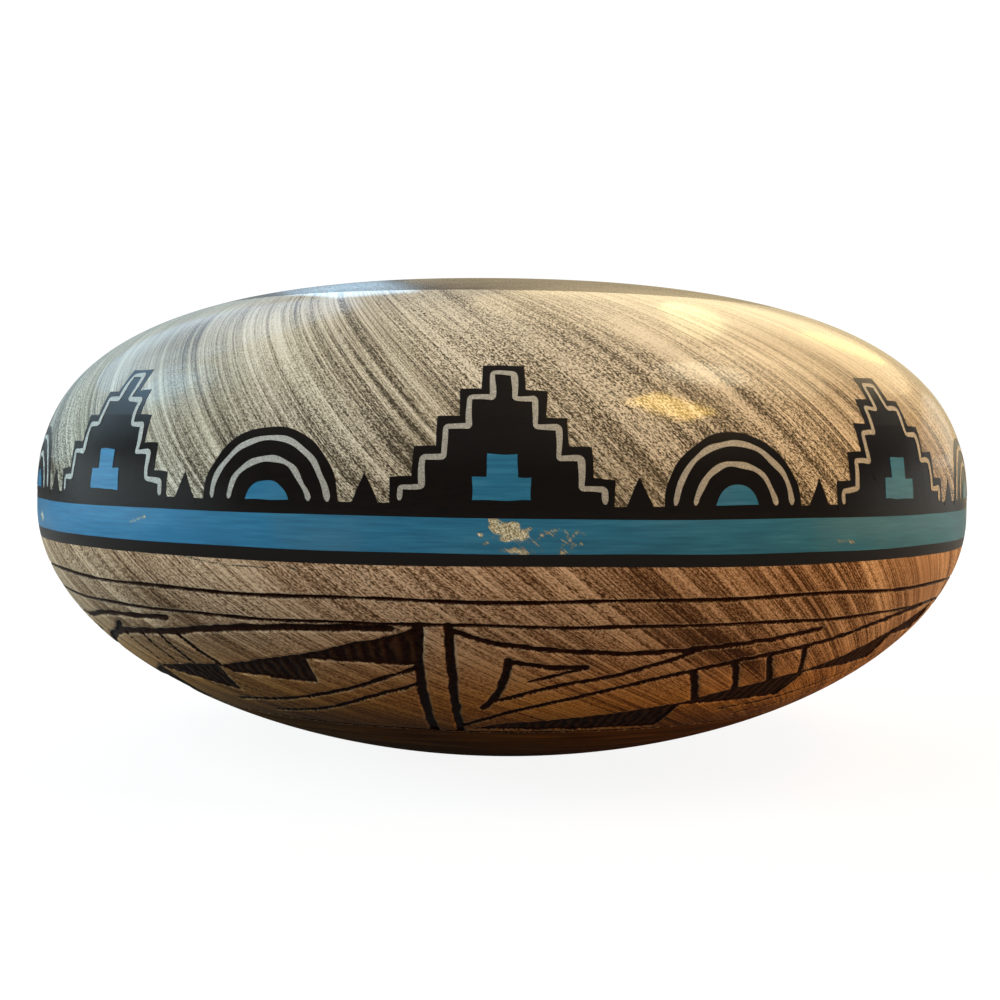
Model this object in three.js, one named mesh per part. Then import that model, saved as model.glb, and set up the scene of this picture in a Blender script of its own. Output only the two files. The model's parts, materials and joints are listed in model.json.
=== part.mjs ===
// Squat hand-decorated pottery pot: one fired clay body, the slip and paint bands laid round it between
// incised rings, and a painted frieze of stepped terraces and arches standing on the belt.
// Millimetres, +Z up, the foot on z = 0, the front towards -Y. Angles round the pot start at the front.
import * as THREE from "three";

// Clay: the finished outside is two half superellipses that meet at the belly line
const BELLY_DIAMETER = 200;
const BELLY_HEIGHT = 50;
const LIP_HEIGHT = 96; // where the shoulder turns over into the lip
const LIP_DIAMETER = 92;
const FOOT_DIAMETER = 64;
const SHOULDER_FULLNESS = 2.66; // superellipse power: 2 is a plain ellipse, more is squarer
const BOWL_FULLNESS = 1.95;
const WALL = 5;
const FLOOR = 6;

// Coats of slip and paint
const COAT = 0.5;
const BED = 0.05; // between the clay and a coat
const SEAM = 0.1; // between a coat and the next one
const FILM = 0.3; // a painted motif
const FILM_BED = 0.3; // between a coat and a motif, more than the sag of a facet

// Bands, measured along the finished outside
const FOOT_BARE = 4; // bare clay round the flat foot
const FOOT_BAND = 39; // from the flat foot to the incised ring under the carved band
const LINE_PITCH = 5; // between the two incised rings over the carved band
const LINE_WIDTH = 1;
const LINE_DEPTH = 0.6; // into the clay
const BELLY_BAND = 6.1; // from the upper incised ring to the lower stripe
const STRIPE = 2.1; // each black stripe beside the belt
const BELT = 5.7;
const BELT_DROP = 0.7; // of the belt's middle under the belly line
const RIM_BAND = 20.5; // from the lip down the shoulder
const RIM_INSIDE = 6; // from the lip down inside the mouth

// Painted frieze
const TERRACE_STEPS = 5;
const TERRACE_TOP = 7.2; // width of the top step
const TERRACE_RUN = 3.6; // by which each step is wider, on each side
const TERRACE_RISE = 5; // of each step
const ARCH_RADIUS = 13;
const FRIEZE_GAP = 8; // between a terrace and an arch
const FRIEZE_LIFT = 0.4; // clear of the stripe under it

// Facets
const SEGMENTS = 48;
const LIP_STEPS = 6;
const INSIDE_STEPS = 12;
const ARCH_COLUMNS = 6;
const ARCH_ROWS = 5;
const ARCH_TOP = 0.98; // share of the radius where the arch is cut flat, so that its top keeps an edge

const FINISH = {
  clay: { color: 0xb89c78, roughness: 0.9 },
  charcoal: { color: 0x211f1c, roughness: 0.35 },
  brushedGrey: { color: 0xb8a68a, roughness: 0.45 },
  black: { color: 0x120d0b, roughness: 0.4 },
  turquoise: { color: 0x215463, roughness: 0.4 },
  brushedBrown: { color: 0x785942, roughness: 0.5 },
  umber: { color: 0x382112, roughness: 0.5 },
};

const BELLY_RADIUS = BELLY_DIAMETER / 2;
const CLAY_DEPTH = COAT + BED; // from the finished outside to the clay
const INSIDE_DEPTH = CLAY_DEPTH + WALL; // from the finished outside to the inside of the clay

/** One half of the outside: its power, which way it goes from the belly, and its full half height. */
function halfOutside(power, side, height, endDiameter) {
  const atEnd = (1 - (endDiameter / BELLY_DIAMETER) ** power) ** (1 / power);
  return { power, side, semi: height / atEnd };
}
const BOWL = halfOutside(BOWL_FULLNESS, -1, BELLY_HEIGHT, FOOT_DIAMETER);
const SHOULDER = halfOutside(SHOULDER_FULLNESS, 1, LIP_HEIGHT - BELLY_HEIGHT, LIP_DIAMETER);

/** Outward direction of the outside, as (radius, height), at a wall angle: 0 at the belly, above it positive. */
function wallNormal(angle) {
  const { power, side, semi } = angle < 0 ? BOWL : SHOULDER;
  const share = 2 - 2 / power;
  const across = Math.cos(angle) ** share / BELLY_RADIUS;
  const along = (side * Math.abs(Math.sin(angle)) ** share) / semi;
  return new THREE.Vector2(across, along).normalize();
}

/** Point of the wall, as (radius, height), at a wall angle and a depth under the finished outside. */
function wallPoint(angle, depth = 0) {
  const { power, side, semi } = angle < 0 ? BOWL : SHOULDER;
  const radius = BELLY_RADIUS * Math.cos(angle) ** (2 / power);
  const rise = side * semi * Math.abs(Math.sin(angle)) ** (2 / power);
  return new THREE.Vector2(radius, BELLY_HEIGHT + rise).addScaledVector(wallNormal(angle), -depth);
}

/** Wall angle where the finished outside stands at a height. */
function angleAtHeight(height) {
  const { power, side, semi } = height < BELLY_HEIGHT ? BOWL : SHOULDER;
  return side * Math.asin((Math.abs(height - BELLY_HEIGHT) / semi) ** (power / 2));
}

/** Wall angle between two, by halving, where a measure that rises with the angle reaches its target. */
function solveAngle(measure, target, low, high) {
  for (let halvings = 0; halvings < 40; halvings++) {
    const middle = (low + high) / 2;
    if (measure(middle) < target) low = middle;
    else high = middle;
  }
  return (low + high) / 2;
}

/** Distance along the finished outside from one wall angle to another, negative when going down. */
function wallLength(from, to) {
  const chords = spread(from, to, 40).map((angle) => wallPoint(angle));
  const length = chords.slice(1).reduce((sum, point, i) => sum + point.distanceTo(chords[i]), 0);
  return to < from ? -length : length;
}

/** Wall angle that lies a distance along the finished outside from another, upwards if positive. */
function climb(from, distance) {
  return solveAngle((angle) => wallLength(from, angle), distance, -Math.PI / 2, Math.PI / 2);
}

/** Evenly spaced values from one to another, both included. */
function spread(from, to, steps) {
  return Array.from({ length: steps + 1 }, (_, i) => from + ((to - from) * i) / steps);
}

// Wall angles of the ends of the wall and of the edges between bands, from the belt outwards
const footAngle = angleAtHeight(0);
const lipAngle = angleAtHeight(LIP_HEIGHT);
const beltMiddle = climb(0, -BELT_DROP);
const beltBottom = climb(beltMiddle, -BELT / 2);
const beltTop = climb(beltMiddle, BELT / 2);
const lowerStripeBottom = climb(beltBottom, -STRIPE);
const upperStripeTop = climb(beltTop, STRIPE);
const upperLine = climb(lowerStripeBottom, -BELLY_BAND);
const lowerLine = climb(upperLine, -LINE_PITCH);
const footLine = climb(footAngle, FOOT_BAND);
const footBandBottom = climb(footAngle, FOOT_BARE);
const rimBottom = climb(lipAngle, -RIM_BAND);
const rimInsideEnd = climb(lipAngle, -RIM_INSIDE);
const incisedLines = [footLine, lowerLine, upperLine];

/** Coat between two edges, held back from each by half the seam or half the incised line there. */
function band(name, finish, from, to, steps) {
  const heldBack = (edge) => (incisedLines.includes(edge) ? LINE_WIDTH : SEAM) / 2;
  return { name, finish, angles: spread(climb(from, heldBack(from)), climb(to, -heldBack(to)), steps) };
}
const bands = [
  band("foot_band", FINISH.umber, footBandBottom, footLine, 4),
  band("carved_band", FINISH.brushedBrown, footLine, lowerLine, 5),
  band("lower_belly_band", FINISH.brushedBrown, lowerLine, upperLine, 1),
  band("upper_belly_band", FINISH.brushedBrown, upperLine, lowerStripeBottom, 1),
  band("lower_stripe", FINISH.black, lowerStripeBottom, beltBottom, 1),
  band("turquoise_belt", FINISH.turquoise, beltBottom, beltTop, 2),
  band("upper_stripe", FINISH.black, beltTop, upperStripeTop, 1),
  band("shoulder_slip", FINISH.brushedGrey, upperStripeTop, rimBottom, 8),
];
const rimAngles = spread(climb(rimBottom, SEAM / 2), lipAngle, 4);
const rimInsideAngles = spread(lipAngle, rimInsideEnd, 2);

/** Mesh with a name and a finish. */
function piece(name, finish, geometry) {
  const mesh = new THREE.Mesh(geometry, new THREE.MeshStandardMaterial({ metalness: 0, ...finish }));
  mesh.name = name;
  return mesh;
}

/** Solid turned from (radius, height) points that run up the outside and down the inside. */
function turned(points) {
  return new THREE.LatheGeometry(points, SEGMENTS).rotateX(Math.PI / 2);
}

/** Half circle over the end of the wall, from its outside to its inside. */
function lipRound(radius) {
  const middle = wallPoint(lipAngle, CLAY_DEPTH + WALL / 2);
  const start = wallNormal(lipAngle).angle();
  return spread(start, start + Math.PI, LIP_STEPS).map(
    (turn) => new THREE.Vector2(Math.cos(turn), Math.sin(turn)).multiplyScalar(radius).add(middle),
  );
}

/** Fired clay: flat foot, wall with its incised rings, rounded lip, smooth inside. */
function clayBody() {
  const seats = [...bands.flatMap((coat) => coat.angles), ...rimAngles.slice(0, -1)].map((angle) => ({
    angle,
    depth: CLAY_DEPTH,
  }));
  const grooves = incisedLines.map((angle) => ({ angle, depth: CLAY_DEPTH + LINE_DEPTH }));
  const outside = [...seats, ...grooves]
    .sort((a, b) => a.angle - b.angle)
    .map(({ angle, depth }) => wallPoint(angle, depth));
  const floorAngle = solveAngle((angle) => wallPoint(angle, INSIDE_DEPTH).y, FLOOR, footAngle, lipAngle);
  const inside = [...rimInsideAngles.slice(1), ...spread(rimInsideEnd, floorAngle, INSIDE_STEPS).slice(1)].map(
    (angle) => wallPoint(angle, INSIDE_DEPTH),
  );
  return turned([
    new THREE.Vector2(0, 0),
    new THREE.Vector2(FOOT_DIAMETER / 2, 0),
    ...outside,
    ...lipRound(WALL / 2),
    ...inside,
    new THREE.Vector2(0, FLOOR),
  ]);
}

/** Ring of slip or paint on the outside of the wall. */
function coatRing(angles) {
  const outer = angles.map((angle) => wallPoint(angle));
  const inner = angles.map((angle) => wallPoint(angle, COAT)).reverse();
  return turned([...outer, ...inner, outer[0]]);
}

/** Paint over the lip, from the shoulder to a little way inside the mouth. */
function rimPaint() {
  const skin = (outsideDepth, radius, insideDepth) => [
    ...rimAngles.slice(0, -1).map((angle) => wallPoint(angle, outsideDepth)),
    ...lipRound(radius),
    ...rimInsideAngles.slice(1).map((angle) => wallPoint(angle, insideDepth)),
  ];
  const outer = skin(0, WALL / 2 + CLAY_DEPTH, INSIDE_DEPTH + CLAY_DEPTH);
  const inner = skin(COAT, WALL / 2 + BED, INSIDE_DEPTH + BED).reverse();
  return turned([...outer, ...inner, outer[0]]);
}

/**
 * Thin solid of paint on the shoulder, from a grid of columns and rows. place(i, j) gives a grid point as
 * (distance round from the middle, distance up from the frieze's foot), and filled(i, j) says which cells
 * hold paint.
 */
function paintedFilm(columns, rows, turn, place, filled) {
  const foot = climb(upperStripeTop, FRIEZE_LIFT);
  const positions = [];
  for (const height of [FILM_BED, FILM_BED + FILM])
    for (let j = 0; j <= rows; j++)
      for (let i = 0; i <= columns; i++) {
        const { round, up } = place(i, j);
        const { x: radius, y: z } = wallPoint(climb(foot, up), -height);
        const angle = turn + round / BELLY_RADIUS;
        positions.push(radius * Math.sin(angle), -radius * Math.cos(angle), z);
      }
  const layer = (columns + 1) * (rows + 1);
  const under = (i, j) => j * (columns + 1) + i;
  const over = (i, j) => under(i, j) + layer;
  const index = [];
  const quad = (a, b, c, d) => index.push(a, b, c, a, c, d);
  const isFilled = (i, j) => i >= 0 && j >= 0 && i < columns && j < rows && filled(i, j);
  for (let j = 0; j < rows; j++)
    for (let i = 0; i < columns; i++) {
      if (!isFilled(i, j)) continue;
      quad(over(i, j), over(i + 1, j), over(i + 1, j + 1), over(i, j + 1));
      quad(under(i, j), under(i, j + 1), under(i + 1, j + 1), under(i + 1, j));
      if (!isFilled(i, j - 1)) quad(under(i, j), under(i + 1, j), over(i + 1, j), over(i, j));
      if (!isFilled(i + 1, j)) quad(under(i + 1, j), under(i + 1, j + 1), over(i + 1, j + 1), over(i + 1, j));
      if (!isFilled(i, j + 1)) quad(under(i + 1, j + 1), under(i, j + 1), over(i, j + 1), over(i + 1, j + 1));
      if (!isFilled(i - 1, j)) quad(under(i, j + 1), under(i, j), over(i, j), over(i, j + 1));
    }
  const geometry = new THREE.BufferGeometry();
  geometry.setAttribute("position", new THREE.Float32BufferAttribute(positions, 3));
  geometry.setIndex(index);
  return geometry.toNonIndexed();
}

const terraceWidth = TERRACE_TOP + 2 * (TERRACE_STEPS - 1) * TERRACE_RUN;

/** Stepped pyramid: each row up is one run narrower on each side. */
function terrace(turn) {
  const columns = 2 * TERRACE_STEPS - 1;
  const fromEdge = (i) => Math.min(i, columns - i);
  const place = (i, j) => ({
    round: Math.sign(2 * i - columns) * (terraceWidth / 2 - fromEdge(i) * TERRACE_RUN),
    up: j * TERRACE_RISE,
  });
  const filled = (i, j) => Math.min(i, columns - 1 - i) >= j;
  return paintedFilm(columns, TERRACE_STEPS, turn, place, filled);
}

/** Half disc standing on its straight side. */
function arch(turn) {
  const place = (i, j) => {
    const up = (ARCH_RADIUS * ARCH_TOP * j) / ARCH_ROWS;
    const halfWidth = Math.sqrt(ARCH_RADIUS ** 2 - up ** 2);
    return { round: halfWidth * ((2 * i) / ARCH_COLUMNS - 1), up };
  };
  return paintedFilm(ARCH_COLUMNS, ARCH_ROWS, turn, place, () => true);
}

const pot = new THREE.Group();
pot.add(piece("clay_body", FINISH.clay, clayBody()));
for (const { name, finish, angles } of bands) pot.add(piece(name, finish, coatRing(angles)));
pot.add(piece("rim_paint", FINISH.charcoal, rimPaint()));

const repeatWidth = terraceWidth + 2 * ARCH_RADIUS + 2 * FRIEZE_GAP;
const repeats = Math.floor((Math.PI * BELLY_DIAMETER) / repeatWidth);
for (let k = 0; k < repeats; k++) {
  const turn = (2 * Math.PI * k) / repeats;
  pot.add(piece(`terrace_${k + 1}`, FINISH.black, terrace(turn)));
  pot.add(piece(`arch_${k + 1}`, FINISH.black, arch(turn + Math.PI / repeats)));
}

export default pot;
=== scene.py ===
"""Looks of a squat hand-decorated pottery pot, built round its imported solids.

Lengths are millimetres until a mesh is written, which is in metres. A place on the pot is (u, s): u is the
distance round the pot from its front, measured at the belly, and s is the distance up the wall from the
edge of the foot.
"""
import json
import math
from types import SimpleNamespace

import bmesh
import bpy
import numpy as np
from mathutils import Matrix, Vector


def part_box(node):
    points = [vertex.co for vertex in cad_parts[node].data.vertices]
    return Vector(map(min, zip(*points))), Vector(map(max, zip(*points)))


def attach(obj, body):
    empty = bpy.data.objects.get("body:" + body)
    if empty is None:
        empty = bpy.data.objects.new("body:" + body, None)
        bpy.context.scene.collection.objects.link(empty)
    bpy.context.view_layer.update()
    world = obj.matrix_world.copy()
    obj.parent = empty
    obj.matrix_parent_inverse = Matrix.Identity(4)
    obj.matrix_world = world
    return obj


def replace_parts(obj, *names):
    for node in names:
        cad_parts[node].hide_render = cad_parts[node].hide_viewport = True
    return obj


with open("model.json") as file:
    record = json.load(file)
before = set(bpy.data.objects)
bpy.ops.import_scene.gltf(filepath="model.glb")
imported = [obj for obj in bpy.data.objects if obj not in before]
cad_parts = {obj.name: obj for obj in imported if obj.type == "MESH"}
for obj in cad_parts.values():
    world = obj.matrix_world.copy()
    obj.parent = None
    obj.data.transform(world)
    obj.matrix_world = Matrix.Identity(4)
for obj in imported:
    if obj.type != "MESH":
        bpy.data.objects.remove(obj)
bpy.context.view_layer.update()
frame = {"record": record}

# The finished outside, as the solids have it: two half superellipses that meet at the belly line
MM = 0.001
BELLY_RADIUS = 100.0
BELLY_HEIGHT = 50.0
LIP_HEIGHT = 96.0
LIP_RADIUS = 46.0
FOOT_RADIUS = 32.0
SHOULDER_FULLNESS = 2.66
BOWL_FULLNESS = 1.95
WALL_THICKNESS = 5.0
POT_FLOOR = 6.0
COAT = 0.5
BED = 0.05
SEAM = 0.1
LINE_WIDTH = 1.0
RIM_INSIDE = 6.0
GIRTH = 2 * math.pi * BELLY_RADIUS


def wall_table(samples=8000):
    """Radius, height, outward direction and distance s of the finished outside, from foot to lip."""
    def half_height(power, height, end):
        return height / (1 - (end / BELLY_RADIUS) ** power) ** (1 / power)

    bowl = half_height(BOWL_FULLNESS, BELLY_HEIGHT, FOOT_RADIUS)
    shoulder = half_height(SHOULDER_FULLNESS, LIP_HEIGHT - BELLY_HEIGHT, LIP_RADIUS)
    lowest = -math.asin((BELLY_HEIGHT / bowl) ** (BOWL_FULLNESS / 2))
    highest = math.asin(((LIP_HEIGHT - BELLY_HEIGHT) / shoulder) ** (SHOULDER_FULLNESS / 2))
    angle = np.linspace(lowest, highest, samples)
    power = np.where(angle < 0, BOWL_FULLNESS, SHOULDER_FULLNESS)
    semi = np.where(angle < 0, bowl, shoulder)
    cosine, sine = np.cos(angle), np.abs(np.sin(angle))
    radius = BELLY_RADIUS * cosine ** (2 / power)
    height = BELLY_HEIGHT + np.sign(angle) * semi * sine ** (2 / power)
    out_r = cosine ** (2 - 2 / power) / BELLY_RADIUS
    out_z = np.sign(angle) * sine ** (2 - 2 / power) / semi
    length = np.hypot(out_r, out_z)
    s = np.concatenate([[0], np.cumsum(np.hypot(np.diff(radius), np.diff(height)))])
    return SimpleNamespace(s=s, radius=radius, height=height, out_r=out_r / length, out_z=out_z / length)


WALL = wall_table()
LIP = WALL.s[-1]


def wall(s, out=0.0):
    """(radius, height) of the wall at distances s along it, moved out from it."""
    def at(values):
        return np.interp(s, WALL.s, values)

    return at(WALL.radius) + out * at(WALL.out_r), at(WALL.height) + out * at(WALL.out_z)


def wall_distance(height):
    """Distance s at which the finished outside stands at a height in metres."""
    return float(np.interp(height / MM, WALL.height, WALL.s))


def on_wall(u, s, out=0.0):
    """Points, in metres, at places (u, s) on the wall, moved out from it."""
    radius, height = wall(s, out)
    turn = np.asarray(u) / BELLY_RADIUS
    return np.stack([radius * np.sin(turn), -radius * np.cos(turn), height + 0 * turn], -1) * MM


# Edges between the coats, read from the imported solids: low edges under the belly, high ones over it
FOOT_BAND_LOW = wall_distance(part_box("foot_band")[0].z)
FOOT_LINE = wall_distance(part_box("carved_band")[0].z) - LINE_WIDTH / 2
LOWER_LINE = wall_distance(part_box("lower_belly_band")[0].z) - LINE_WIDTH / 2
UPPER_LINE = wall_distance(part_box("upper_belly_band")[0].z) - LINE_WIDTH / 2
LOWER_STRIPE_LOW = wall_distance(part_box("lower_stripe")[0].z) - SEAM / 2
BELT_LOW = wall_distance(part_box("turquoise_belt")[0].z) - SEAM / 2
BELT_HIGH = wall_distance(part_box("turquoise_belt")[1].z) + SEAM / 2
UPPER_STRIPE_HIGH = wall_distance(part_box("upper_stripe")[1].z) + SEAM / 2
RIM_LOW = wall_distance(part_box("shoulder_slip")[1].z) + SEAM / 2
WAVERS = {
    FOOT_BAND_LOW: 0.25, FOOT_LINE: 0.2, LOWER_LINE: 0.2, UPPER_LINE: 0.2, LOWER_STRIPE_LOW: 0.08,
    BELT_LOW: 0.06, BELT_HIGH: 0.06, UPPER_STRIPE_HIGH: 0.1, RIM_LOW: 0.0,
}
RIPPLE_WAVES = 10


def ripple(u, s, seed, longest, shortest, size):
    """Smooth seeded waver of about a given size, of waves between two lengths, that closes round the pot."""
    rng = np.random.default_rng(seed)
    total = np.zeros(np.broadcast(u, s).shape)
    for _ in range(RIPPLE_WAVES):
        length = math.exp(rng.uniform(math.log(shortest), math.log(longest)))
        heading = rng.uniform(0, math.pi)
        turns = round(GIRTH * math.cos(heading) / length)
        steep = 2 * math.pi * math.sin(heading) / length
        total += np.sin(turns * u / BELLY_RADIUS + steep * s + rng.uniform(0, 2 * math.pi))
    return size * total / math.sqrt(RIPPLE_WAVES / 2)


def edge(at, u):
    """Distance s of an edge between coats, which wavers a little as a hand draws it."""
    return at + ripple(u, at, round(10 * at), 160, 25, WAVERS[at])


# Brush marks: cotangent of their slope on the unrolled wall, at distances s up it. They run down to the right
BRUSH_LEVELS = (0, 55, 85, 110, 140, 175)
BRUSH_LEANS = (1.9, 1.7, 1.1, 0.9, 0.85, 0.8)
SWEEP_SHARE = 0.75
# How far a mark has moved round the pot, at each sample of the wall
LEAN = np.interp(WALL.s, BRUSH_LEVELS, BRUSH_LEANS)
BRUSH_DRIFT = np.concatenate([[0], np.cumsum(np.diff(WALL.s) * (LEAN[1:] + LEAN[:-1]) / 2)])


def brush_place(u, s, share=1.0):
    """Place in millimetres whose first two numbers stay put along a brush mark and whose third runs along it.

    A share below 1 gives the marks less lean.
    """
    turn = (u + share * np.interp(s, WALL.s, BRUSH_DRIFT)) / BELLY_RADIUS
    return np.stack([BELLY_RADIUS * np.cos(turn), BELLY_RADIUS * np.sin(turn), s + 0 * turn], -1)


# Broad sweeps of the brush that show on the front: place (u, s) of the middle, half width, half length up the
# wall, and how much darker the marks are there, or paler if below 0
SWEEPS = (
    (-30, 126, 8, 12, 0.22),
    (-50, 128, 8, 12, -0.12),
    (-76, 127, 9, 13, 0.25),
    (30, 126, 9, 8, -0.34),
    (32, 136, 9, 8, -0.2),
    (-10, 143, 9, 7, 0.16),
    (8, 134, 2.5, 10, 0.24),
    (4, 119, 2.5, 9, 0.2),
    (43, 115, 1.6, 12, 0.14),
    (62, 114, 1.4, 9, 0.18),
    (71, 112, 1.6, 9, 0.2),
    (81, 112, 1.6, 9, 0.18),
    (27, 79, 5, 14, 0.34),
    (39, 79, 3, 12, 0.2),
    (2, 78, 12, 8, -0.08),
    (47, 82, 5, 8, 0.14),
    (60, 79, 10, 8, 0.16),
    (92, 80, 14, 10, 0.14),
    (43, 67, 9, 7, 0.36),
    (-68, 76, 8, 8, 0.25),
    (-30, 81, 6, 8, 0.16),
    (10, 64, 12, 8, -0.1),
    (30, 55, 10, 6, -0.14),
)
# Where the brush ran drier, or wetter if below 0, in the same way, and where sheen is painted in as fainter
# marks
DRY_AND_SHEEN_SWEEPS = (
    # Painted sheen: fainter marks high on the left of the shoulder
    (-75, 124, 36, 26, -0.4),
    (6, 126, 20, 26, 0.6),
    (35, 110, 16, 12, 0.3),
    # Painted sheen: fainter marks high on the right of the shoulder
    (75, 124, 22, 20, -0.25),
    (-5, 78, 26, 9, 0.4),
    (-70, 78, 26, 9, 0.4),
    (92, 80, 14, 14, -0.35),
)


def swept(u, s, sweeps):
    """Sum of what sweeps add at places on the wall."""
    def along_mark(at_u, at_s):
        return at_u + np.interp(at_s, WALL.s, BRUSH_DRIFT)

    total = np.zeros(np.broadcast(u, s).shape)
    for at_u, at_s, half_width, half_length, amount in sweeps:
        across = (along_mark(u, s) - along_mark(at_u, at_s)) / half_width
        up = (s - at_s) / half_length
        total += amount * np.exp(-(across**2 + up**2))
    return total


# Carved ornament: five units round the pot, each from one pair of upright bars to the next
UNITS = 5
UNIT = GIRTH / UNITS
UNIT_START = -11.0
CUT_DEPTH = 0.42
WEDGE_DEPTH = 0.32
HATCH_PITCH = 2.5
HATCH_RIDGE = 0.14
HATCH_FADE = 0.8
CUT_SLOPE = 0.32
RING_HALF = 0.4
FAR_FROM_CUT = 9.0


def cut(width, *points):
    """One stroke of the carving tool: its width, and places (u from the unit's start, s) along it."""
    return width, rounded(points)


def sides(points, closed=False):
    """Pairs of neighbouring points along a line, or round a closed outline."""
    return zip(points, points[1:] + points[:1] if closed else points[1:])


def rounded(points, passes=2):
    """Line through points with its corners cut away, its ends kept."""
    for _ in range(passes):
        inner = []
        for (u0, s0), (u1, s1) in sides(points):
            for share in (0.25, 0.75):
                inner.append(((1 - share) * u0 + share * u1, (1 - share) * s0 + share * s1))
        points = [points[0], *inner[1:-1], points[-1]] if len(points) > 2 else list(points)
    return list(points)


BARS = [
    cut(1.6, (2.2, 73.6), (1.9, 60), (1, 39.6)),
    cut(1.7, (122.7, 73.6), (121.6, 64), (120.9, 55), (119.9, 39.6)),
]
FLAG = [
    cut(1.5, (12.5, 66.2), (12, 60.5), (10.2, 55.2), (7.5, 50.8)),
    cut(1.25, (12.5, 65.6), (17, 64.8), (22.5, 64.2), (27.2, 64.1)),
    cut(1, (27.2, 64.1), (22, 62.3), (16.8, 60.2)),
    cut(1.2, (9.8, 53.6), (12.5, 54.6), (21, 58.6), (31, 61), (41, 64.6), (49, 68.3)),
]
LOWER_RAYS = [
    cut(1, (66.7, 46.7), (76.7, 48), (86.7, 49.8), (96.7, 53), (106.7, 56.6), (116.7, 61.7), (121.6, 63.9)),
    cut(1, (76, 43.2), (86.7, 44.8), (96.7, 47.6), (106.7, 52.6), (116.7, 57), (121.2, 59.4)),
]
RIGHT_UNIT = SimpleNamespace(
    strokes=BARS + FLAG + LOWER_RAYS + [
        cut(1.2, (3, 72.6), (11, 69.8), (21, 68.6), (31, 67.7), (41, 67.7), (49, 68.5),
            (57.5, 69), (65.2, 69.9), (75.2, 71.4)),
        cut(1.25, (2.4, 42.6), (6.8, 45.4), (11, 47.8), (16, 50.6), (21, 52.6), (31, 56.5), (41, 60.2),
            (49, 62.3), (62.2, 65.4), (73, 66.9), (81, 68.2), (91, 70.7), (101, 72.6), (113, 73.5)),
        cut(1.5, (49.6, 62), (52.5, 57.5), (56, 51.5)),
        cut(1.4, (58.3, 63.8), (61, 60), (64, 55.2)),
        cut(1.3, (66, 65.2), (69, 61), (72.4, 57.2)),
        cut(1.2, (74.5, 66.4), (77, 63), (79.8, 59.4)),
    ],
    wedges=[
        [(3, 40.4), (11, 43.6), (21, 45), (31, 46.9), (41, 48.8), (49, 50.8), (52.6, 51.3), (52.6, 40.4)],
        [(52.6, 51.3), (61.4, 55), (73, 57.7), (81.8, 59.7), (81.8, 50.6), (53, 50.4)],
        [(81.4, 59.6), (91, 62.6), (101, 66.8), (107, 68.7), (107.4, 59.5), (82, 58.7)],
        [(106.6, 68.6), (115, 71.4), (122.3, 73.4), (122.3, 66.4), (107.4, 66.8)],
    ],
)
LEFT_UNIT = SimpleNamespace(
    strokes=BARS + FLAG + LOWER_RAYS + [
        cut(1.2, (3, 72.6), (12, 69.4), (21, 67.8), (31.7, 67.8), (41.7, 70), (51.7, 70.7),
            (61.7, 71.1), (69, 71.7)),
        cut(1.6, (2.4, 42.6), (12, 51), (22, 57.5), (31.7, 62.3), (46.7, 66), (56.7, 67),
            (66.7, 68), (76.7, 69.7), (86.7, 71), (96.7, 71.9), (106.7, 72.5), (117.5, 72.9)),
        cut(1.2, (46.7, 65.3), (49, 61), (51, 57)),
        cut(1.2, (55.4, 66.2), (57, 62), (58.8, 58.4)),
        cut(1.2, (62.4, 67), (64, 63), (66, 59.6)),
        cut(1.3, (69, 67.6), (71.5, 64), (75, 60.4)),
    ],
    wedges=[
        [(3, 40.4), (16, 44.6), (32, 50.4), (46, 55.4), (46, 40.4)],
        [(46.7, 55.6), (56.7, 57.3), (66.7, 59), (74.4, 60.2), (73.8, 55), (72.8, 50.8), (61.7, 52.8),
         (46.7, 54.6)],
        [(74, 60), (77, 60.4), (88.4, 63.3), (99, 65.8), (98.6, 57.2), (77, 58)],
        [(98.6, 65.7), (101.7, 66.7), (108.4, 68.8), (117, 71.2), (122.3, 73.4), (122, 64.4), (99, 64.4)],
    ],
)
UNIT_ORDER = (RIGHT_UNIT, LEFT_UNIT, RIGHT_UNIT, LEFT_UNIT, LEFT_UNIT)

# Scratches over the rings, at places (u, s)
SCRATCHES = (
    cut(0.22, (-57, 84.6), (-50, 83.6), (-39.5, 83.4)),
    cut(0.34, (-36, 84), (-33.5, 82.8)),
    cut(0.26, (-23.5, 84.5), (-21.5, 80.8)),
    cut(0.3, (-19, 75.6), (-16.4, 73.9)),
    cut(0.3, (-11, 76.5), (-9.6, 75.2)),
)


def line_distance(u, s, squeeze, points, closed=False):
    """Distance from places to a line of points. Steps round the pot count squeeze times their length."""
    nearest = np.full(u.shape, np.inf)
    for (u0, s0), (u1, s1) in sides(points, closed):
        along_u, along_s = (u1 - u0) * squeeze, s1 - s0
        from_u, from_s = (u - u0) * squeeze, s - s0
        share = np.clip((from_u * along_u + from_s * along_s) / (along_u**2 + along_s**2), 0, 1)
        nearest = np.minimum(nearest, np.hypot(from_u - share * along_u, from_s - share * along_s))
    return nearest


def inside(u, s, points):
    """Whether places lie inside an outline."""
    odd = np.zeros(u.shape, bool)
    for (u0, s0), (u1, s1) in sides(points, True):
        if s0 != s1:
            odd ^= ((s0 > s) != (s1 > s)) & (u < (u1 - u0) * (s - s0) / (s1 - s0) + u0)
    return odd


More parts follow.
